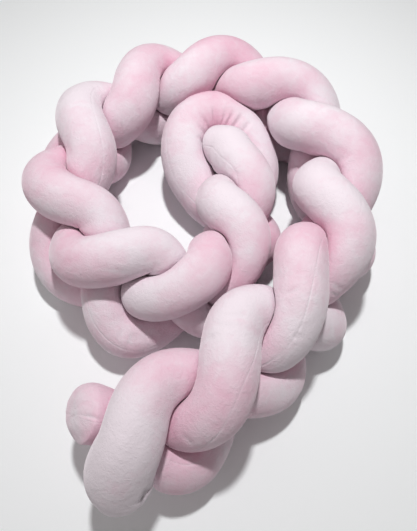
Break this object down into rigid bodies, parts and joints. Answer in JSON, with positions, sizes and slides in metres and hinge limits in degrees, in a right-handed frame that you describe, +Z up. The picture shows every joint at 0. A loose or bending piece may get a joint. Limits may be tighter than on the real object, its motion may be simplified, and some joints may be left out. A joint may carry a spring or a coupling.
{
  "type": "braided crib bumper",
  "caption": "Soft crib bumper of plump velvet tubes plaited together, standing on edge and laid in a loose coil with a loop at its inner end",
  "frame": {"origin": "on the floor under the middle of the coil's outer box", "axes": "+Z up, +Y along the coil's longer way, from the plait's outer end to the far side of the coil, +X to the right"},
  "size_m": [0.5322, 0.715, 0.1658],
  "materials": {
    "folded_velvet": "soft short-pile velvet",
    "single_velvet": "soft short-pile velvet"
  },
  "bodies": {
    "root": {"folded_tube": "folded_velvet", "single_tube": "single_velvet"}
  },
  "joints": []
}
